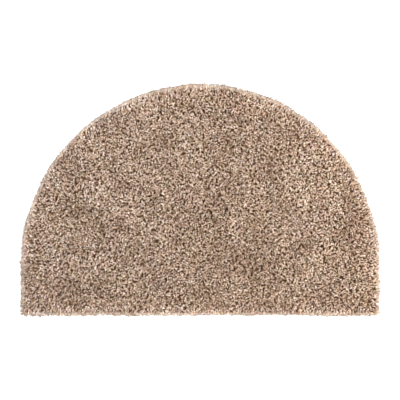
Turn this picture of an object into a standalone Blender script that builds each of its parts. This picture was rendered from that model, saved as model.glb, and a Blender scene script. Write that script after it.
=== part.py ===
"""Half-round shag rug, lying flat: one tufted cloth with its pile, as a lumpy slab with locks at its rim.

Metres, +Z up. X runs along the straight front edge, +Y points to the top of the round edge, and the origin
is at floor level under the middle of the rug.
"""

import math
import random

import bmesh
import bpy
from mathutils import Vector, noise
from mathutils.geometry import delaunay_2d_cdt

# Size over the tips of the pile. The round edge is a half circle, and straight sides join it to the front.
WIDTH = 0.800
DEPTH = 0.516
ROUND_RADIUS = WIDTH / 2
SIDE = DEPTH - ROUND_RADIUS
ROUND_CENTRE = Vector((0, SIDE - DEPTH / 2))

# The slab, which stands back from the tips by the locks' reach
LOCK_REACH = 0.015
SLAB_CORNER = 0.018
PILE_TOP = 0.0245
SHOULDER_ROLL = 0.024

# The slab's edge, from the floor up: each level's height, and how far it stands in from the slab's outline
EDGE_LEVELS = (
    {"height": 0.0000, "inset": 0.0030},
    {"height": 0.0012, "inset": 0.0000},
    {"height": 0.0066, "inset": 0.0005},
    {"height": 0.0128, "inset": 0.0035},
)
SHOULDER = EDGE_LEVELS[-1]

# The tufts' lattice over the top, and the lumps that they gather into
TUFT_PITCH = 0.0120
TUFT_SHIFT = 0.0027
TUFT_ROUGHNESS = 0.0024
CLUMP_PITCH = 0.030
CLUMP_RISE = 0.0072
SWELL_PITCH = 0.120
SWELL_RISE = 0.0018

# Locks: one in each lane around the rim, of these kinds in no order. A kind's level is the part of the slab's
# edge that it grows out of. Its bend is a share of its reach, and as wide and deep as a share of its root.
LOCKS = 290
LANE_UNEVENNESS = 0.32
REACH_UNEVENNESS = 0.20
CORNER_SQUARENESS = 5
SWAY = 0.22
LOCK_KINDS = (
    {"level": 1, "bend_at": 0.62, "width": 0.82, "depth": 0.74, "bend_height": 0.0028, "tip_height": 0.0013},
    {"level": 1, "bend_at": 0.74, "width": 0.80, "depth": 0.62, "bend_height": 0.0034, "tip_height": 0.0030},
    {"level": 2, "bend_at": 0.58, "width": 0.82, "depth": 0.72, "bend_height": 0.0100, "tip_height": 0.0048},
    {"level": 2, "bend_at": 0.70, "width": 0.78, "depth": 0.60, "bend_height": 0.0078, "tip_height": 0.0022},
    {"level": 2, "bend_at": 0.64, "width": 0.80, "depth": 0.68, "bend_height": 0.0128, "tip_height": 0.0096},
)
LOWEST_LOCK = 0.0004

# Where the round edge swells out or draws in: the bearing from its centre, how wide that is, and by how much
ROUND_SWELLS = (
    {"bearing": 8, "spread": 4, "out": 0.0018},
    {"bearing": 22, "spread": 8, "out": -0.0030},
    {"bearing": 40, "spread": 5, "out": -0.0027},
    {"bearing": 64, "spread": 4, "out": 0.0020},
    {"bearing": 77, "spread": 2, "out": 0.0026},
    {"bearing": 93, "spread": 4, "out": 0.0018},
    {"bearing": 118, "spread": 6, "out": -0.0023},
    {"bearing": 137, "spread": 5, "out": -0.0034},
    {"bearing": 158, "spread": 5, "out": -0.0034},
    {"bearing": 169, "spread": 3, "out": 0.0024},
    {"bearing": 180, "spread": 1, "out": 0.0030},
)

# The same along the front edge, by distance from the middle
FRONT_SWELLS = (
    {"across": -0.357, "spread": 0.016, "out": 0.0026},
    {"across": -0.215, "spread": 0.020, "out": -0.0018},
    {"across": -0.150, "spread": 0.014, "out": 0.0022},
    {"across": 0.055, "spread": 0.030, "out": -0.0016},
    {"across": 0.145, "spread": 0.018, "out": -0.0022},
    {"across": 0.285, "spread": 0.022, "out": 0.0026},
)

PILE_COLOUR = (0.38, 0.27, 0.195, 1)
PILE_ROUGHNESS = 0.9


def slab_stretches():
    """The slab's outline, anticlockwise from the front edge's left end, as straight and turning stretches."""
    front = WIDTH - 2 * (LOCK_REACH + SLAB_CORNER)
    side = SIDE - LOCK_REACH - SLAB_CORNER
    quarter = math.pi / 2
    corner = {"name": "corner", "length": quarter * SLAB_CORNER, "turn": quarter}
    straight_side = {"name": "side", "length": side, "turn": 0}
    half_round = {"name": "round", "length": math.pi * (ROUND_RADIUS - LOCK_REACH), "turn": math.pi}
    straight_front = {"name": "front", "length": front, "turn": 0}
    return straight_front, corner, straight_side, half_round, straight_side, corner


def slab_edge_point(distance):
    """The slab's outline at a distance along it: the point, the outward direction and the stretch's name."""
    point = Vector((LOCK_REACH + SLAB_CORNER - WIDTH / 2, LOCK_REACH - DEPTH / 2))
    heading = 0
    for stretch in slab_stretches():
        part = min(distance, stretch["length"])
        if stretch["turn"]:
            radius = stretch["length"] / stretch["turn"]
            centre = point + radius * Vector((-math.sin(heading), math.cos(heading)))
            heading += part / radius
            point = centre + radius * Vector((math.sin(heading), -math.cos(heading)))
        else:
            point = point + part * Vector((math.cos(heading), math.sin(heading)))
        distance -= part
        if distance <= 0:
            break
    return point, Vector((math.sin(heading), -math.cos(heading))), stretch["name"]


def rim_lanes(rng):
    """Distances along the slab's outline between one lock's lane and the next, a little uneven."""
    widths = [rng.uniform(1 - LANE_UNEVENNESS, 1 + LANE_UNEVENNESS) for _ in range(LOCKS)]
    scale = sum(stretch["length"] for stretch in slab_stretches()) / sum(widths)
    distances = [0]
    for width in widths:
        distances.append(distances[-1] + width * scale)
    return distances


def depth_inside(point):
    """How far a point lies inside the slab's shoulder."""
    inset = LOCK_REACH + SHOULDER["inset"]
    beyond_sides = point - ROUND_CENTRE
    if beyond_sides.y > 0:
        return ROUND_RADIUS - inset - beyond_sides.length
    return min(ROUND_RADIUS - inset - abs(point.x), point.y + DEPTH / 2 - inset)


def pile_height(point):
    """The top of the pile at a point: it rises from the shoulder, gathers into clumps and swells slowly."""
    inward = min(max(depth_inside(point) / SHOULDER_ROLL, 0), 1)
    roll = math.sqrt(1 - (1 - inward) ** 2)
    nearest = noise.voronoi((point / CLUMP_PITCH).to_3d())[0][0]
    clump = CLUMP_RISE * (0.5 - nearest ** 2)
    swell = SWELL_RISE * noise.noise((point / SWELL_PITCH).to_3d())
    return SHOULDER["height"] + roll * (PILE_TOP - SHOULDER["height"] + clump + swell)


def tuft_points(rng):
    """The tufts inside the shoulder, in staggered rows."""
    row_pitch = TUFT_PITCH * math.sqrt(3) / 2
    rows = int(DEPTH / row_pitch)
    columns = int(WIDTH / TUFT_PITCH)
    points = []
    for row in range(rows):
        for column in range(columns + 1):
            across = (column - columns / 2 + 0.5 * (row % 2)) * TUFT_PITCH
            back = (row + 0.5) * row_pitch - DEPTH / 2
            shift = Vector((rng.uniform(-1, 1), rng.uniform(-1, 1))) * TUFT_SHIFT
            point = Vector((across, back)) + shift
            if depth_inside(point) > TUFT_PITCH / 2:
                points.append(point)
    return points


def edge_ring(mesh, rim, level):
    """One ring of points around the slab's edge."""
    return [mesh.verts.new((*(point - level["inset"] * out), level["height"])) for point, out, _ in rim]


def add_top(mesh, shoulder_ring, rng):
    """The lumpy top, a triangulation of the tufts' lattice inside the shoulder's ring."""
    tufts = tuft_points(rng)
    count = len(shoulder_ring)
    flat = [vertex.co.to_2d() for vertex in shoulder_ring] + tufts
    ring = [(i, (i + 1) % count) for i in range(count)]
    inside_constraints = 1
    points, _, faces, sources, _, _ = delaunay_2d_cdt(flat, ring, [], inside_constraints, 1e-6)
    vertices = []
    for point, source in zip(points, sources):
        if source[0] < count:
            vertices.append(shoulder_ring[source[0]])
        else:
            roughness = rng.uniform(-1, 1) * TUFT_ROUGHNESS
            vertices.append(mesh.verts.new((*point, pile_height(point) + roughness)))
    for face in faces:
        mesh.faces.new([vertices[i] for i in face])


def add_edge(mesh, rings):
    """The slab's edge and its flat underside. Returns the edge's faces, one list for each pair of rings."""
    strips = []
    for lower, upper in zip(rings, rings[1:]):
        after = zip(lower, lower[1:] + lower[:1], upper[1:] + upper[:1], upper)
        strips.append([mesh.faces.new(corners) for corners in after])
    mesh.faces.new(reversed(rings[0]))
    return strips


def gaussian(offset, spread):
    return math.exp(-((offset / spread) ** 2))


def swell_at(point):
    """How much further out the locks reach at this place on the rim, where the outline swells or draws in."""
    if point.y < ROUND_CENTRE.y - SIDE / 2:
        return sum(row["out"] * gaussian(point.x - row["across"], row["spread"]) for row in FRONT_SWELLS)
    bearing = math.degrees(math.atan2(point.y - ROUND_CENTRE.y, point.x))
    return sum(row["out"] * gaussian(bearing - row["bearing"], row["spread"]) for row in ROUND_SWELLS)


def lock_reach(point, out, stretch, rng):
    """How far a lock stands out from the slab: further at the front corners, which are nearly square."""
    reach = LOCK_REACH
    if stretch == "corner":
        power = CORNER_SQUARENESS
        square = (abs(out.x) ** power + abs(out.y) ** power) ** (-1 / power)
        reach = (SLAB_CORNER + LOCK_REACH) * square - SLAB_CORNER
    return reach * rng.uniform(1 - REACH_UNEVENNESS, 1 + REACH_UNEVENNESS / 2) + swell_at(point)


def add_lock(mesh, face, kind, out, reach, rng):
    """Draws a lock out of one face of the slab's edge: a thick bend, and a tip that droops to the floor."""
    root = face.calc_center_median()
    outward = out.to_3d()
    along = Vector((-out.y, out.x, 0))
    lane = (face.verts[1].co - face.verts[0].co).length
    sway = along * lane * rng.uniform(-SWAY, SWAY)
    bend_face = bmesh.ops.extrude_discrete_faces(mesh, faces=[face])["faces"][0]
    bend = root + outward * reach * kind["bend_at"] + sway * kind["bend_at"] ** 2
    bend.z = kind["bend_height"] * rng.uniform(0.9, 1.1)
    for vertex in bend_face.verts:
        from_root = vertex.co - root
        wide = along * from_root.dot(along) * kind["width"]
        vertex.co = bend + wide + Vector((0, 0, from_root.z * kind["depth"]))
        vertex.co.z = max(vertex.co.z, LOWEST_LOCK)
    tip = bmesh.ops.poke(mesh, faces=[bend_face])["verts"][0]
    tip.co = root + outward * reach + sway
    tip.co.z = kind["tip_height"] * rng.uniform(0.7, 1.3)


def add_locks(mesh, strips, lanes, rng):
    """The locks around the rim, each out of the slab's edge at the level of its kind."""
    for lane in range(LOCKS):
        kind = rng.choice(LOCK_KINDS)
        middle = (lanes[lane] + lanes[lane + 1]) / 2
        point, out, stretch = slab_edge_point(middle)
        reach = lock_reach(point, out, stretch, rng)
        add_lock(mesh, strips[kind["level"]][lane], kind, out, reach, rng)


def pile_material():
    material = bpy.data.materials.new("shag_pile")
    material.use_nodes = True
    shader = material.node_tree.nodes["Principled BSDF"]
    shader.inputs["Base Color"].default_value = PILE_COLOUR
    shader.inputs["Roughness"].default_value = PILE_ROUGHNESS
    shader.inputs["Metallic"].default_value = 0
    return material


def centre_on_footprint(mesh):
    """Moves the rug so that the origin is under the middle of its outline."""
    for axis in (0, 1):
        places = [vertex.co[axis] for vertex in mesh.verts]
        middle = (min(places) + max(places)) / 2
        for vertex in mesh.verts:
            vertex.co[axis] -= middle


def make_rug():
    rng = random.Random(7)
    lanes = rim_lanes(rng)
    rim = [slab_edge_point(distance) for distance in lanes[:-1]]
    mesh = bmesh.new()
    rings = [edge_ring(mesh, rim, level) for level in EDGE_LEVELS]
    add_top(mesh, rings[-1], rng)
    strips = add_edge(mesh, rings)
    add_locks(mesh, strips, lanes, rng)
    centre_on_footprint(mesh)
    bmesh.ops.recalc_face_normals(mesh, faces=mesh.faces)
    data = bpy.data.meshes.new("shag_rug")
    mesh.to_mesh(data)
    mesh.free()
    data.shade_smooth()
    data.materials.append(pile_material())
    return bpy.data.objects.new("shag_rug", data)


def main():
    for leftover in list(bpy.data.objects):
        bpy.data.objects.remove(leftover)
    collection = bpy.data.collections.new("Half-round shag rug")
    bpy.context.scene.collection.children.link(collection)
    collection.objects.link(make_rug())


main()
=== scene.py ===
"""The looks of the half-round shag rug: its backing cloth and every strand of its pile, on a pale floor.

Metres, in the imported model's frame: X along the straight front edge, +Y to the top of the round edge, +Z up.
"""

import math

import bpy
import numpy as np
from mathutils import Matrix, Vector, noise
from mathutils.bvhtree import BVHTree


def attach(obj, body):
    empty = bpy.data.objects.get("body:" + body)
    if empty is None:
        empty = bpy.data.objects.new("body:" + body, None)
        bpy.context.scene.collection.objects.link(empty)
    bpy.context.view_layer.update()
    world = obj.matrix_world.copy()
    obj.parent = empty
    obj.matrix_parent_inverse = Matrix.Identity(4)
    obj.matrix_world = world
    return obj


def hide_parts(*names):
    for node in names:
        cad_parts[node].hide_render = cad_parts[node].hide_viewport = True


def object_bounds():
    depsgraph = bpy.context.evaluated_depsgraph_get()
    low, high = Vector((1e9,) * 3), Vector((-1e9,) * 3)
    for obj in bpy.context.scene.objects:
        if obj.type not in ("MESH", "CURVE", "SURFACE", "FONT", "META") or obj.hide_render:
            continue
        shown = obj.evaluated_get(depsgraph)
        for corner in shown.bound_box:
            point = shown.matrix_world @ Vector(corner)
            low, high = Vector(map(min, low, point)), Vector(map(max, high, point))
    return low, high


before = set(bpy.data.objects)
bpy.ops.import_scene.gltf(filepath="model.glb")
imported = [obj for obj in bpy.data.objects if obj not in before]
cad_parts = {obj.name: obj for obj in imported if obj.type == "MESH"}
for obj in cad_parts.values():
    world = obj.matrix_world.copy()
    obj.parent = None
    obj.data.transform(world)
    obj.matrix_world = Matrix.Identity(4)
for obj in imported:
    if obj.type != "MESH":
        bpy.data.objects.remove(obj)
cad_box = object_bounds()

# The outline that most tips of the pile reach: a half circle, with straight sides down to the front edge
WIDTH = 0.800
DEPTH = 0.516
RADIUS = WIDTH / 2
CENTRE_Y = DEPTH / 2 - RADIUS

# Where the round edge and the sides swell out or draw in: the bearing in degrees, the width, and how far out
FIRST_BEARING = -90
ROUND_SWELLS = (
    {"bearing": -8, "spread": 6, "out": 0.0006},
    {"bearing": 8, "spread": 4, "out": 0.0022},
    {"bearing": 22, "spread": 8, "out": -0.0030},
    {"bearing": 40, "spread": 5, "out": -0.0027},
    {"bearing": 45, "spread": 50, "out": 0.0028},
    {"bearing": 64, "spread": 4, "out": 0.0020},
    {"bearing": 83, "spread": 5, "out": 0.0018},
    {"bearing": 93, "spread": 4, "out": 0.0018},
    {"bearing": 118, "spread": 6, "out": -0.0023},
    {"bearing": 137, "spread": 5, "out": -0.0034},
    {"bearing": 158, "spread": 5, "out": -0.0034},
    {"bearing": 169, "spread": 3, "out": 0.0024},
    {"bearing": 180, "spread": 1, "out": 0.0030},
    {"bearing": 190, "spread": 8, "out": 0.0008},
)

# The same along the front edge, by distance from the middle
FRONT_SWELLS = (
    {"across": -0.365, "spread": 0.022, "out": 0.0030},
    {"across": -0.290, "spread": 0.016, "out": 0.0022},
    {"across": -0.225, "spread": 0.020, "out": -0.0018},
    {"across": -0.150, "spread": 0.014, "out": 0.0022},
    {"across": 0.055, "spread": 0.030, "out": -0.0016},
    {"across": 0.175, "spread": 0.040, "out": -0.0026},
    {"across": 0.295, "spread": 0.022, "out": 0.0022},
)

# Backing cloth: how far it stands back from the tips, and how far apart the points of its outline are
BACKING_INSET = 0.006
BACKING_STEP = 0.012
BACKING_THICKNESS = 0.0024

# Tufts of two strands: staggered rows over the backing, and a close row along its edge
TUFT_PITCH = 0.0042
TUFT_SHIFT = 0.3
TUFT_SPREAD = 0.0011
STRANDS_IN_TUFT = 2
ROOT_INSET = 0.008
RIM_PITCH = 0.0013
RIM_SHIFT = 0.4

# What the random draws start from, and the layer of the noise that each slow pattern is read from
SEED = 3
BRUSH_LAYERS = (1.5, 8.5)
SHADE_LAYER = 20.5
WARMTH_LAYER = 31.5
PINK_LAYER = 45.5

# The grid that the solid's height is read on: its spacing, and its lines on each side of the middle
HEIGHT_STEP = 0.004
HEIGHT_COLUMNS = 104
HEIGHT_ROWS = 70

# How far above the solid the rays start, and how far inside the grid's last line a place is kept, in steps
RAY_START = 0.01
GRID_MARGIN = 1e-6

# A strand: how far its tip falls from its root, alone, with its tuft and with the pile around it
FALL = (0.002, 0.009)
TUFT_FALL = 0.0027
BRUSH_FALL = 0.0035
BRUSH_PITCH = 0.060

# How far it curls aside, and how deep it may lie in the pile and how rare that is
CURL = 0.0048
SINK = 0.0040
SINK_RARITY = 1.5

# How far its tip may droop, as a part of its fall, and the tip's least height
DROOP = 0.35
LOWEST_TIP = 0.0014

# The two bends of its curve: how far along its fall they are, and their height as a part of the pile's
LOWER_BEND = {"along": 0.10, "up": 0.80}
UPPER_BEND = {"along": 0.55, "up": 1.22}

# At the rim the strands lean outward, less and less over this distance from the outermost roots
RIM_LEAN = 0.018

# How far they reach, as a part of the way to the outline; more evenness leaves fewer strands that fall short
RIM_REACH = (0.50, 1.10)
RIM_EVENNESS = 3

# Wisps: a few strands reach further by up to this much, and more rarity leaves fewer of them
WISP_REACH = 0.0055
WISP_RARITY = 6

# The rim's least height, at the outline and further in, and the distance over which it rolls down
RIM_FOOT = 0.0045
RIM_HEIGHT = 0.021
RIM_ROLL = 0.018

# How much less deep the rim's strands lie, and how far down their tips may hang
RIM_FULLNESS = 0.3
RIM_HANG = 0.75

# How near a front corner the lean turns from one edge's to the other's
CORNER_TURN = 0.012

# A strand's rings: how far along its curve they are, and how thick it is there; both its ends are points
RINGS = np.array([0.46, 0.70, 0.90])
THICKNESS = np.array([1.00, 1.05, 0.95])
SIDES = 3
YARN_RADIUS = 0.00095
YARN_UNEVENNESS = 0.18

# A flat map with a square for each strand: its name, and the margin inside each square
MAP_NAME = "OFBake"
MAP_MARGIN = 0.1

# The attribute that carries each point's tint, painted light and shade included, to its yarn's material
TINT_NAME = "tint"

# Yarns: how much of the pile each is, and its colour
YARNS = (
    {"name": "cream", "share": 0.20, "colour": (0.570, 0.468, 0.372)},
    {"name": "beige", "share": 0.20, "colour": (0.510, 0.403, 0.306)},
    {"name": "sand", "share": 0.20, "colour": (0.440, 0.330, 0.235)},
    {"name": "tan", "share": 0.20, "colour": (0.388, 0.285, 0.199)},
    {"name": "brown", "share": 0.20, "colour": (0.311, 0.220, 0.148)},
)

# Chance in the shade: from strand to strand, and from place to place along a strand
STRAND_SHADE = 0.28
PLACE_SHADE = 0.10

# The darkest shade, and its power in red, green and blue, so that what is darker is browner as well
DARKEST = 0.4
SHADE_POWERS = (0.85, 1.0, 1.14)

# The pile's tint at its top and, from this far below it, deep down: painted shade, darker and browner deep in
# the pile
DEEP = 0.005
DEEP_SHADE = (0.80, 0.62, 0.495)
TOP_SHADE = (1.010, 1.014, 1.045)

# The rim's tint: a paler band inside the outline, which is painted light, and darker outermost ends, which are
# painted shade
RIM_PAINTED_LIGHT = (0.105, 0.185, 0.285)
RIM_BAND = 0.013
RIM_BAND_WIDTH = 0.011
RIM_PAINTED_SHADE = 0.25
RIM_EDGE_WIDTH = 0.005

# How much less the strands at the rim differ in shade from one another
RIM_CALM = 0.2

# Slow patches of lighter and darker pile, painted light and shade where its nap leans to and from the light,
# and painted shade at the right and left rims: the place, how wide and deep it is, and how much lighter it is
PATCHES = (
    {"x": 0.09, "y": -0.145, "wide": 0.13, "deep": 0.035, "lighter": -0.18},
    {"x": 0.03, "y": -0.03, "wide": 0.09, "deep": 0.05, "lighter": -0.12},
    {"x": -0.22, "y": -0.09, "wide": 0.07, "deep": 0.05, "lighter": -0.08},
    {"x": -0.27, "y": -0.19, "wide": 0.11, "deep": 0.04, "lighter": -0.17},
    {"x": 0.09, "y": 0.20, "wide": 0.05, "deep": 0.05, "lighter": -0.08},
    {"x": 0.33, "y": -0.045, "wide": 0.03, "deep": 0.05, "lighter": -0.12},
    {"x": 0.25, "y": 0.08, "wide": 0.07, "deep": 0.08, "lighter": 0.16},
    {"x": -0.11, "y": 0.20, "wide": 0.07, "deep": 0.04, "lighter": 0.12},
    {"x": -0.25, "y": 0.12, "wide": 0.05, "deep": 0.06, "lighter": 0.08},
    {"x": -0.08, "y": -0.15, "wide": 0.03, "deep": 0.05, "lighter": 0.08},
    {"x": 0.30, "y": -0.17, "wide": 0.06, "deep": 0.05, "lighter": 0.08},
    # The last two are painted shade at the right and left rims
    {"x": 0.40, "y": -0.06, "wide": 0.022, "deep": 0.16, "lighter": -0.19},
    {"x": -0.40, "y": -0.20, "wide": 0.025, "deep": 0.06, "lighter": -0.15},
)

# Slow noise in the shade, painted light and shade where the pile's nap leans to and from the light: how far
# apart its blotches are, and how much lighter or darker
MOTTLE = ({"pitch": 0.016, "depth": 0.24}, {"pitch": 0.045, "depth": 0.18})

# Warmth, which is more red and less blue: rising to the right, from strand to strand, and in slow noise
WARMTH_ACROSS = 0.018
STRAND_WARMTH = 0.004
WARMTH_MOTTLE = ({"pitch": 0.012, "depth": 0.045}, {"pitch": 0.030, "depth": 0.012})

# How much more of the blue it takes than it gives to the red
WARMTH_IN_BLUE = 1.5

# Pinkness, which is less green: everywhere, and in slow noise
PINKNESS = 0.012
PINK_MOTTLE = {"pitch": 0.010, "depth": 0.075}

# Cloth, yarn and backing alike: how rough it is where no fibres say so, and how little it shines
CLOTH_ROUGHNESS = 0.9
CLOTH_SHINE = 0.2

# The yarns' fibres: how many to a metre, and what they do to the yarn's shade, roughness and surface
FIBRES = 1000
FIBRE_DETAIL = 2
FIBRE_SHADE = (0.86, 1.14)
FIBRE_ROUGHNESS = (0.95, 0.80)
FIBRE_BUMP = 0.0003

# Backing cloth: dark brown on top, for the yarns' roots and for painted shade deep between the tufts, and
# woven underneath
BACKING_DETAIL = 3
ROOTS_AND_SHADE_COLOUR = (0.155, 0.092, 0.056)
ROOT_SHADE = (0.75, 1.25)
WEAVE_COLOUR = (0.46, 0.37, 0.27)
WEAVE_SHADE = (0.55, 1.05)
WEAVE_PITCH = 0.0032
WEAVE_BUMP = 0.0004
WEAVE_UNEVENNESS = 1.2

# How many radians a wave node's bands go through in a metre, at a scale of 1
WAVE_RADIANS = 20

# The colour of the light that the floor and the world around give off
WHITE = (1, 1, 1, 1)

# Floor: a wide pale square just under the rug, which gives off a little light of its own
FLOOR_SIZE = 8
FLOOR_DROP = 0.0005
FLOOR_COLOUR = (0.95, 0.95, 0.95, 1)
FLOOR_ROUGHNESS = 0.8
FLOOR_GLOW = 0.35

# Studio light: even light from all sides, and a large lamp high up on the right
WORLD_STRENGTH = 0.68
KEY_PLACE = (1.6, -0.2, 4.6)
KEY_SIZE = 2.0
KEY_POWER = 528

# Camera, straight above the rug: its lens and sensor in millimetres
CAMERA_LENS = 85
SENSOR = 36

# The middle and the width of what it sees, on a plane at this height
VIEW_CENTRE = (-0.00056, 0.00056)
VIEW_WIDTH = 0.896
VIEW_PLANE = 0.006


def hump(value, centre, width):
    """1 at the centre, and smoothly less to both sides, over about this width."""
    return np.exp(-(((value - centre) / width) ** 2))


def depth_inside(x, y):
    """How far each point lies inside the outline of the tips."""
    arc = RADIUS - np.hypot(x, y - CENTRE_Y)
    straight = np.minimum(RADIUS - np.abs(x), y + DEPTH / 2)
    return np.where(y > CENTRE_Y, arc, straight)


def outward(x, y):
    """The direction out of the rug at each point, which turns through the front corners."""
    side = np.exp(-(RADIUS - np.abs(x)) / CORNER_TURN)
    front = np.exp(-(y + DEPTH / 2) / CORNER_TURN)
    below = np.stack([np.sign(x) * side, -front], axis=1)
    above = np.stack([x, y - CENTRE_Y], axis=1)
    out = np.where((y > CENTRE_Y)[:, None], above, below)
    return out / np.linalg.norm(out, axis=1, keepdims=True)


def swell(x, y):
    """How much further out the tips reach at this place on the rim."""
    bearing = (np.degrees(np.arctan2(y - CENTRE_Y, x)) - FIRST_BEARING) % 360 + FIRST_BEARING
    around = sum(row["out"] * hump(bearing, row["bearing"], row["spread"]) for row in ROUND_SWELLS)
    across = sum(row["out"] * hump(x, row["across"], row["spread"]) for row in FRONT_SWELLS)
    front = RADIUS - np.abs(x) > y + DEPTH / 2
    return np.where(front & (y < CENTRE_Y), across, around)


def slow_noise(x, y, pitch, layer):
    """A slowly changing random value for each point, from about -1 to 1."""
    return np.array([noise.noise((a / pitch, b / pitch, layer)) for a, b in zip(x, y)])


def outline_points(inset, pitch):
    """Places along the outline at a distance inside the tips, anticlockwise from the front's left end."""
    radius = RADIUS - inset
    front = inset - DEPTH / 2
    steps = int(math.pi * radius / pitch)
    angles = np.arange(1, steps) * math.pi / steps
    arc = zip(radius * np.cos(angles), CENTRE_Y + radius * np.sin(angles))
    right_side = [(radius, front), (radius, CENTRE_Y)]
    left_side = [(-radius, CENTRE_Y), (-radius, front)]
    ends = [left_side[1], *right_side, *arc, *left_side]
    points = []
    for (ax, ay), (bx, by) in zip(ends, ends[1:]):
        count = max(1, round(math.hypot(bx - ax, by - ay) / pitch))
        points += [(ax + (bx - ax) * k / count, ay + (by - ay) * k / count) for k in range(count)]
    return np.array(points)


def scatter(length, angle):
    """Flat vectors of these lengths and directions."""
    return np.stack([length * np.cos(angle), length * np.sin(angle)], axis=1)


def tuft_places(rng):
    """Where the tufts stand: staggered rows, a little uneven, and the close row along the backing's edge."""
    row_pitch = TUFT_PITCH * math.sqrt(3) / 2
    rows = np.arange(ROOT_INSET + row_pitch / 2 - DEPTH / 2, DEPTH / 2, row_pitch)
    columns = np.arange(-WIDTH / 2, WIDTH / 2, TUFT_PITCH)
    x, y = np.meshgrid(columns, rows)
    x = x + 0.5 * TUFT_PITCH * (np.arange(len(rows)) % 2)[:, None]
    inner = np.stack([x.ravel(), y.ravel()], axis=1)
    inner += TUFT_PITCH * TUFT_SHIFT * rng.uniform(-1, 1, inner.shape)
    inner = inner[depth_inside(*inner.T) > ROOT_INSET]
    rim = outline_points(ROOT_INSET, RIM_PITCH)
    rim += RIM_PITCH * RIM_SHIFT * rng.uniform(-1, 1, rim.shape)
    return np.concatenate([inner, rim])


def roots_and_falls(rng):
    """Each strand's root, and how far and where its tip falls from it, before the rim's lean."""
    tufts = tuft_places(rng)
    count = len(tufts)
    turn = rng.uniform(0, 2 * math.pi, count)
    brush = np.stack([slow_noise(*tufts.T, BRUSH_PITCH, layer) for layer in BRUSH_LAYERS], axis=1)
    shared = scatter(TUFT_FALL * rng.uniform(0, 1, count), turn) + BRUSH_FALL * brush
    roots = []
    falls = []
    for strand in range(STRANDS_IN_TUFT):
        beside = scatter(TUFT_SPREAD, turn + 2 * math.pi * strand / STRANDS_IN_TUFT)
        own = scatter(rng.uniform(*FALL, count), rng.uniform(0, 2 * math.pi, count))
        roots.append(tufts + beside)
        falls.append(own + shared)
    return np.concatenate(roots), np.concatenate(falls)


def solid_heights():
    """The top of the solid on a grid of points, read by rays from above; 0 where it has nothing."""
    tree = BVHTree.FromObject(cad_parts["shag_rug"], bpy.context.evaluated_depsgraph_get())
    above = max(corner.z for corner in cad_box) + RAY_START
    down = Vector((0, 0, -1))
    columns = [HEIGHT_STEP * k for k in range(-HEIGHT_COLUMNS, HEIGHT_COLUMNS + 1)]
    rows = [HEIGHT_STEP * k for k in range(-HEIGHT_ROWS, HEIGHT_ROWS + 1)]
    hits = [[tree.ray_cast(Vector((x, y, above)), down)[0] for x in columns] for y in rows]
    return np.array([[hit.z if hit else 0 for hit in row] for row in hits])


def solid_height(x, y):
    """The top of the solid at each point, between the four heights of the grid around it."""
    across = np.clip(x / HEIGHT_STEP + HEIGHT_COLUMNS, 0, 2 * HEIGHT_COLUMNS - GRID_MARGIN)
    along = np.clip(y / HEIGHT_STEP + HEIGHT_ROWS, 0, 2 * HEIGHT_ROWS - GRID_MARGIN)
    column = across.astype(int)
    row = along.astype(int)
    across = across - column
    along = along - row
    near = solid_top[row, column] * (1 - across) + solid_top[row, column + 1] * across
    far = solid_top[row + 1, column] * (1 - across) + solid_top[row + 1, column + 1] * across
    return near * (1 - along) + far * along


def pile_height(x, y):
    """The top of the pile at each point: the solid's, or the rounded rim's where the solid is lower."""
    inside = np.clip(depth_inside(x, y) / RIM_ROLL, 0, 1)
    rim = RIM_FOOT + (RIM_HEIGHT - RIM_FOOT) * np.sqrt(1 - (1 - inside) ** 2)
    return np.maximum(solid_height(x, y), rim)


def rim_lean(roots):
    """How strongly each strand leans outward: fully at the outermost roots, and less and less further in."""
    from_edge = depth_inside(*roots.T) - ROOT_INSET
    return np.exp(-np.maximum(from_edge, 0) / RIM_LEAN)


def leant_out(roots, falls, lean, rng):
    """The falls once the rim's strands lean outward, far enough there for most tips to reach the outline."""
    out = outward(*roots.T)
    falls = falls - lean * (falls * out).sum(axis=1, keepdims=True) * out
    least, most = RIM_REACH
    reach = ROOT_INSET * (most - (most - least) * rng.uniform(0, 1, lean.shape) ** RIM_EVENNESS)
    reach += WISP_REACH * rng.uniform(0, 1, lean.shape) ** WISP_RARITY
    # Near a front corner the way out runs aslant, so it is longer there and the corner stays square
    square = np.where(roots[:, 1] > CENTRE_Y, 1, np.abs(out).max(axis=1))
    reach = (reach + swell(*roots.T)[:, None]) / square[:, None]
    return falls + reach * lean * out


def strand_curves(rng):
    """Each strand's curve as four control points, and the flat direction across it."""
    roots, falls = roots_and_falls(rng)
    count = len(roots)
    lean = rim_lean(roots)
    falls = leant_out(roots, falls, lean[:, None], rng)
    tips = roots + falls
    length = np.linalg.norm(falls, axis=1, keepdims=True)
    across = np.stack([-falls[:, 1], falls[:, 0]], axis=1) / length
    curl = CURL * rng.uniform(-1, 1, (count, 2))
    sink = SINK * rng.uniform(0, 1, count) ** SINK_RARITY * (1 - RIM_FULLNESS * lean)
    tip_height = pile_height(*tips.T)
    top = np.maximum(pile_height(*roots.T), tip_height) - sink
    droop = DROOP * rng.uniform(0, 1, count) * length[:, 0]
    hang = 1 - RIM_HANG * lean * rng.uniform(0, 1, count)
    control = np.zeros((count, 4, 3))
    control[:, 0, :2] = roots
    control[:, 0, 2] = BACKING_THICKNESS
    control[:, 1, :2] = roots + LOWER_BEND["along"] * falls + across * curl[:, :1]
    control[:, 1, 2] = LOWER_BEND["up"] * top
    control[:, 2, :2] = roots + UPPER_BEND["along"] * falls + across * curl[:, 1:]
    control[:, 2, 2] = UPPER_BEND["up"] * top
    control[:, 3, :2] = tips
    control[:, 3, 2] = np.maximum((tip_height - sink - droop) * hang, LOWEST_TIP)
    return control, across


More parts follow.
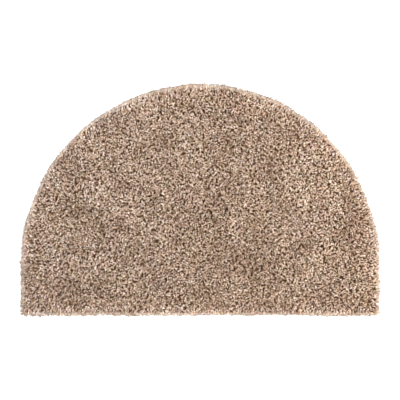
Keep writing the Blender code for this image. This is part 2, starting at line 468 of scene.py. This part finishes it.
def strand_points(control, across, rng):
    """The points of every strand: its root, the rings along its curve, and its tip."""
    t = RINGS
    u = 1 - t
    weights = np.stack([u ** 3, 3 * u * u * t, 3 * u * t * t, t ** 3], axis=1)
    slopes = np.stack([-3 * u * u, 3 * u * u - 6 * u * t, 6 * u * t - 3 * t * t, 3 * t * t], axis=1)
    centres = np.einsum("pk,nkc->npc", weights, control)
    along = np.einsum("pk,nkc->npc", slopes, control)
    along /= np.linalg.norm(along, axis=2, keepdims=True)
    level = np.concatenate([across, np.zeros((len(across), 1))], axis=1)[:, None, :]
    up = np.cross(along, level)
    up /= np.linalg.norm(up, axis=2, keepdims=True)
    side = np.cross(up, along)
    turn = rng.uniform(0, 2 * math.pi, (len(control), 1))
    angles = (turn + np.arange(SIDES) * 2 * math.pi / SIDES)[:, None, :, None]
    spokes = np.cos(angles) * side[:, :, None, :] + np.sin(angles) * up[:, :, None, :]
    uneven = rng.uniform(1 - YARN_UNEVENNESS, 1 + YARN_UNEVENNESS, (len(control), 1))
    radii = YARN_RADIUS * uneven * THICKNESS
    rings = centres[:, :, None, :] + spokes * radii[:, :, None, None]
    return np.concatenate([control[:, :1], rings.reshape(len(control), -1, 3), control[:, 3:]], axis=1)


def strand_faces():
    """One strand's faces, as numbers of its points: a fan at each end, and quads between the rings."""
    last = 1 + SIDES * len(RINGS)
    triangles = []
    quads = []
    for side in range(SIDES):
        after = (side + 1) % SIDES
        triangles.append((0, 1 + after, 1 + side))
        triangles.append((last, last - SIDES + side, last - SIDES + after))
        for ring in range(len(RINGS) - 1):
            first = 1 + SIDES * ring
            quads.append((first + side, first + after, first + SIDES + after, first + SIDES + side))
    return np.array(triangles), np.array(quads)


def strand_map():
    """One strand's face corners on a flat square: around the strand to the right, and along it upward."""
    triangles = []
    quads = []
    for side in range(SIDES):
        left = side / SIDES
        right = (side + 1) / SIDES
        middle = (left + right) / 2
        triangles += [(middle, 0), (right, RINGS[0]), (left, RINGS[0])]
        triangles += [(middle, 1), (left, RINGS[-1]), (right, RINGS[-1])]
        for low, high in zip(RINGS, RINGS[1:]):
            quads += [(left, low), (right, low), (right, high), (left, high)]
    return np.array(triangles), np.array(quads)


def strand_cells(count):
    """The face corners of this many strands on the flat map, each strand's in a square cell of its own."""
    columns = math.ceil(math.sqrt(count))
    number = np.arange(count)
    cells = np.stack([number % columns, number // columns], axis=1)[:, None, :]
    corners = [cells + MAP_MARGIN + (1 - 2 * MAP_MARGIN) * part for part in strand_map()]
    return np.concatenate([part.reshape(-1, 2) for part in corners]) / columns


def strands_mesh(name, points, tints):
    """One mesh of many strands, with its flat map and each point's tint."""
    starts = np.arange(len(points))[:, None, None] * points.shape[1]
    triangles, quads = strand_faces()
    corners = np.concatenate([(triangles + starts).ravel(), (quads + starts).ravel()])
    sizes = np.repeat([3, 4], [len(points) * len(triangles), len(points) * len(quads)])
    mesh = bpy.data.meshes.new(name)
    mesh.vertices.add(points[..., 0].size)
    mesh.vertices.foreach_set("co", points.astype(np.float32).ravel())
    mesh.loops.add(len(corners))
    mesh.loops.foreach_set("vertex_index", corners.astype(np.int32))
    mesh.polygons.add(len(sizes))
    mesh.polygons.foreach_set("loop_start", (np.cumsum(sizes) - sizes).astype(np.int32))
    mesh.update(calc_edges=True)
    mesh.shade_smooth()
    flat_map = mesh.uv_layers.new(name=MAP_NAME)
    flat_map.uv.foreach_set("vector", strand_cells(len(points)).astype(np.float32).ravel())
    opaque = np.concatenate([tints, np.ones((*tints.shape[:-1], 1))], axis=-1)
    tint = mesh.attributes.new(TINT_NAME, "FLOAT_COLOR", "POINT")
    tint.data.foreach_set("color", opaque.astype(np.float32).ravel())
    return mesh


def strand_shades(roots, rng):
    """How light each strand is at its root, its rings and its tip: by patches and slow noise, which are
    painted light and shade, and by chance.
    """
    x, y = roots.T
    patches = [
        row["lighter"] * hump(x, row["x"], row["wide"]) * hump(y, row["y"], row["deep"])
        for row in PATCHES
    ]
    mottle = [row["depth"] * slow_noise(x, y, row["pitch"], SHADE_LAYER) for row in MOTTLE]
    own_shade = STRAND_SHADE * rng.uniform(-1, 1, len(x)) * (1 - RIM_CALM * rim_lean(roots))
    strand_shade = 1 + sum(patches) + sum(mottle) + own_shade
    place_shade = rng.normal(1, PLACE_SHADE, (len(x), len(RINGS) + 2))
    return strand_shade[:, None] * np.repeat(place_shade, [1] + [SIDES] * len(RINGS) + [1], axis=1)


def strand_hues(roots, rng):
    """What each strand's warmth and pinkness make of red, green and blue."""
    x, y = roots.T
    warmth = WARMTH_ACROSS * x / RADIUS + rng.normal(0, STRAND_WARMTH, len(x))
    warmth += sum(row["depth"] * slow_noise(x, y, row["pitch"], WARMTH_LAYER) for row in WARMTH_MOTTLE)
    pinkness = PINKNESS + PINK_MOTTLE["depth"] * slow_noise(x, y, PINK_MOTTLE["pitch"], PINK_LAYER)
    return np.stack([1 + warmth, 1 - pinkness, 1 - WARMTH_IN_BLUE * warmth], axis=1)


def painted_depth_shade(points):
    """Each point's painted shade by how far below the top of the pile it lies: darker and browner deep down.
    """
    below = pile_height(points[..., 0], points[..., 1]) - points[..., 2]
    deep = np.clip(below / DEEP, 0, 1)[..., None]
    return np.array(DEEP_SHADE) * deep + (1 - deep) * np.array(TOP_SHADE)


def painted_rim_light_and_shade(points):
    """Each point's tint by how far inside the outline it lies: a paler band of painted light, and darker
    outermost ends of painted shade.
    """
    inside = depth_inside(points[..., 0], points[..., 1])[..., None]
    in_band = hump(inside, RIM_BAND, RIM_BAND_WIDTH)
    at_edge = np.exp(-np.maximum(inside, 0) / RIM_EDGE_WIDTH)
    return (1 + np.array(RIM_PAINTED_LIGHT) * in_band) * (1 - RIM_PAINTED_SHADE * at_edge)


def strand_tints(points, rng):
    """Each point's tint: its strand's shade and hue, times the painted shade of its depth and the painted
    light and shade of the rim.
    """
    roots = points[:, 0, :2]
    shade = np.maximum(strand_shades(roots, rng), DARKEST)[..., None] ** np.array(SHADE_POWERS)
    hue = strand_hues(roots, rng)[:, None, :]
    return shade * hue * painted_depth_shade(points) * painted_rim_light_and_shade(points)


def new_material(name):
    """A material for cloth, which is rough and hardly shines."""
    material = bpy.data.materials.new(name)
    material.use_nodes = True
    shader = material.node_tree.nodes["Principled BSDF"]
    shader.inputs["Roughness"].default_value = CLOTH_ROUGHNESS
    shader.inputs["Specular IOR Level"].default_value = CLOTH_SHINE
    return material, shader


def add_noise(tree, scale, detail):
    """A fine random pattern in the rug's own space, from 0 to 1."""
    place = tree.nodes.new("ShaderNodeTexCoord")
    pattern = tree.nodes.new("ShaderNodeTexNoise")
    pattern.inputs["Scale"].default_value = scale
    pattern.inputs["Detail"].default_value = detail
    tree.links.new(place.outputs["Object"], pattern.inputs["Vector"])
    return pattern.outputs["Fac"]


def carried(tree, value, ends):
    """A value from 0 to 1, carried to between these ends."""
    node = tree.nodes.new("ShaderNodeMapRange")
    node.inputs["To Min"].default_value = ends[0]
    node.inputs["To Max"].default_value = ends[1]
    tree.links.new(value, node.inputs["Value"])
    return node.outputs["Result"]


def multiplied(tree, colour, shade):
    """A colour, fixed or from a node, times a shade or a tint."""
    node = tree.nodes.new("ShaderNodeMix")
    node.data_type = "RGBA"
    node.blend_type = "MULTIPLY"
    node.inputs["Factor"].default_value = 1
    if isinstance(colour, tuple):
        node.inputs["A"].default_value = (*colour, 1)
    else:
        tree.links.new(colour, node.inputs["A"])
    tree.links.new(shade, node.inputs["B"])
    return node.outputs["Result"]


def add_bump(tree, shader, height, distance):
    """Fine relief in the surface, by a value from 0 to 1 and the height of 1."""
    node = tree.nodes.new("ShaderNodeBump")
    node.inputs["Distance"].default_value = distance
    tree.links.new(height, node.inputs["Height"])
    tree.links.new(node.outputs["Normal"], shader.inputs["Normal"])


def yarn_material(yarn):
    """Soft spun yarn: its colour, the tint, and fine fibres in its shade, roughness and surface."""
    material, shader = new_material("yarn_" + yarn["name"])
    tree = material.node_tree
    tint = tree.nodes.new("ShaderNodeAttribute")
    tint.attribute_name = TINT_NAME
    fibres = add_noise(tree, FIBRES, FIBRE_DETAIL)
    colour = multiplied(tree, yarn["colour"], tint.outputs["Color"])
    colour = multiplied(tree, colour, carried(tree, fibres, FIBRE_SHADE))
    tree.links.new(colour, shader.inputs["Base Color"])
    tree.links.new(carried(tree, fibres, FIBRE_ROUGHNESS), shader.inputs["Roughness"])
    add_bump(tree, shader, fibres, FIBRE_BUMP)
    return material


def roots_and_shade_material():
    """The backing's top between the tufts: the roots of the yarns, darkened with painted shade deep in the
    pile.
    """
    material, shader = new_material("backing_roots_and_shade")
    tree = material.node_tree
    roots = add_noise(tree, FIBRES, BACKING_DETAIL)
    colour = multiplied(tree, ROOTS_AND_SHADE_COLOUR, carried(tree, roots, ROOT_SHADE))
    tree.links.new(colour, shader.inputs["Base Color"])
    add_bump(tree, shader, roots, FIBRE_BUMP)
    return material


def add_threads(tree, place, direction):
    """Threads side by side along one direction, as a wave from 0 to 1."""
    wave = tree.nodes.new("ShaderNodeTexWave")
    wave.bands_direction = direction
    wave.inputs["Scale"].default_value = 2 * math.pi / (WAVE_RADIANS * WEAVE_PITCH)
    wave.inputs["Distortion"].default_value = WEAVE_UNEVENNESS
    tree.links.new(place.outputs["Object"], wave.inputs["Vector"])
    return wave.outputs["Fac"]


def weave_material():
    """Woven cloth: threads both ways, which are lighter and stand higher where they cross."""
    material, shader = new_material("backing_weave")
    tree = material.node_tree
    place = tree.nodes.new("ShaderNodeTexCoord")
    crossing = tree.nodes.new("ShaderNodeMix")
    crossing.data_type = "FLOAT"
    crossing.inputs["Factor"].default_value = 0.5
    tree.links.new(add_threads(tree, place, "X"), crossing.inputs["A"])
    tree.links.new(add_threads(tree, place, "Y"), crossing.inputs["B"])
    cloth = crossing.outputs["Result"]
    fibres = add_noise(tree, FIBRES, BACKING_DETAIL)
    colour = multiplied(tree, WEAVE_COLOUR, carried(tree, cloth, WEAVE_SHADE))
    colour = multiplied(tree, colour, carried(tree, fibres, FIBRE_SHADE))
    tree.links.new(colour, shader.inputs["Base Color"])
    add_bump(tree, shader, cloth, WEAVE_BUMP)
    return material


def add_piece(name, mesh, material):
    """A piece of the rug, which moves with its one body."""
    piece = bpy.data.objects.new(name, mesh)
    bpy.context.scene.collection.objects.link(piece)
    mesh.materials.append(material)
    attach(piece, "root")
    return piece


def add_pile():
    """The pile, one piece for each yarn."""
    rng = np.random.default_rng(SEED)
    control, across = strand_curves(rng)
    points = strand_points(control, across, rng)
    tints = strand_tints(points, rng)
    yarns = rng.choice(len(YARNS), len(control), p=[yarn["share"] for yarn in YARNS])
    pieces = []
    for number, yarn in enumerate(YARNS):
        chosen = yarns == number
        name = "pile_" + yarn["name"]
        mesh = strands_mesh(name, points[chosen], tints[chosen])
        pieces.append(add_piece(name, mesh, yarn_material(yarn)))
    return pieces


def add_backing(pile):
    """The backing cloth, which replaces the solid: flat, woven underneath, and on top matted with roots and
    darkened with painted shade.
    """
    points = outline_points(BACKING_INSET, BACKING_STEP)
    count = len(points)
    vertices = [(x, y, z) for z in (0, BACKING_THICKNESS) for x, y in points]
    underside = tuple(reversed(range(count)))
    top = tuple(range(count, 2 * count))
    edge = [(i, (i + 1) % count, (i + 1) % count + count, i + count) for i in range(count)]
    mesh = bpy.data.meshes.new("backing")
    mesh.from_pydata(vertices, [], [underside, top, *edge])
    backing = add_piece("backing", mesh, weave_material())
    # The roots and their painted shade are the second material, for the top, which is the second face
    mesh.materials.append(roots_and_shade_material())
    mesh.polygons[1].material_index = 1
    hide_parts("shag_rug")


def add_floor():
    """The floor under the rug."""
    bpy.ops.mesh.primitive_plane_add(size=FLOOR_SIZE, location=(0, 0, -FLOOR_DROP))
    floor = bpy.context.object
    floor.name = "floor"
    material = bpy.data.materials.new("floor")
    material.use_nodes = True
    shader = material.node_tree.nodes["Principled BSDF"]
    shader.inputs["Base Color"].default_value = FLOOR_COLOUR
    shader.inputs["Roughness"].default_value = FLOOR_ROUGHNESS
    shader.inputs["Emission Color"].default_value = WHITE
    shader.inputs["Emission Strength"].default_value = FLOOR_GLOW
    floor.data.materials.append(material)


def add_lamp(name, location, size, energy):
    """A square lamp that faces the middle of the rug."""
    data = bpy.data.lights.new(name, "AREA")
    data.energy = energy
    data.size = size
    lamp = bpy.data.objects.new(name, data)
    lamp.location = location
    lamp.rotation_mode = "QUATERNION"
    lamp.rotation_quaternion = (-Vector(location)).to_track_quat("-Z", "Y")
    bpy.context.scene.collection.objects.link(lamp)


def add_light():
    """The studio's light, and a view that shows colours as they are."""
    world = bpy.data.worlds.new("studio")
    world.use_nodes = True
    background = world.node_tree.nodes["Background"]
    background.inputs["Color"].default_value = WHITE
    background.inputs["Strength"].default_value = WORLD_STRENGTH
    bpy.context.scene.world = world
    add_lamp("key", KEY_PLACE, KEY_SIZE, KEY_POWER)
    bpy.context.scene.view_settings.view_transform = "Standard"


def add_camera():
    """The camera, which looks straight down."""
    data = bpy.data.cameras.new("camera")
    data.lens = CAMERA_LENS
    data.sensor_width = SENSOR
    camera = bpy.data.objects.new("camera", data)
    camera.location = (*VIEW_CENTRE, VIEW_PLANE + VIEW_WIDTH * CAMERA_LENS / SENSOR)
    bpy.context.scene.collection.objects.link(camera)
    bpy.context.scene.camera = camera


solid_top = solid_heights()
add_camera()
add_backing(add_pile())
add_floor()
add_light()
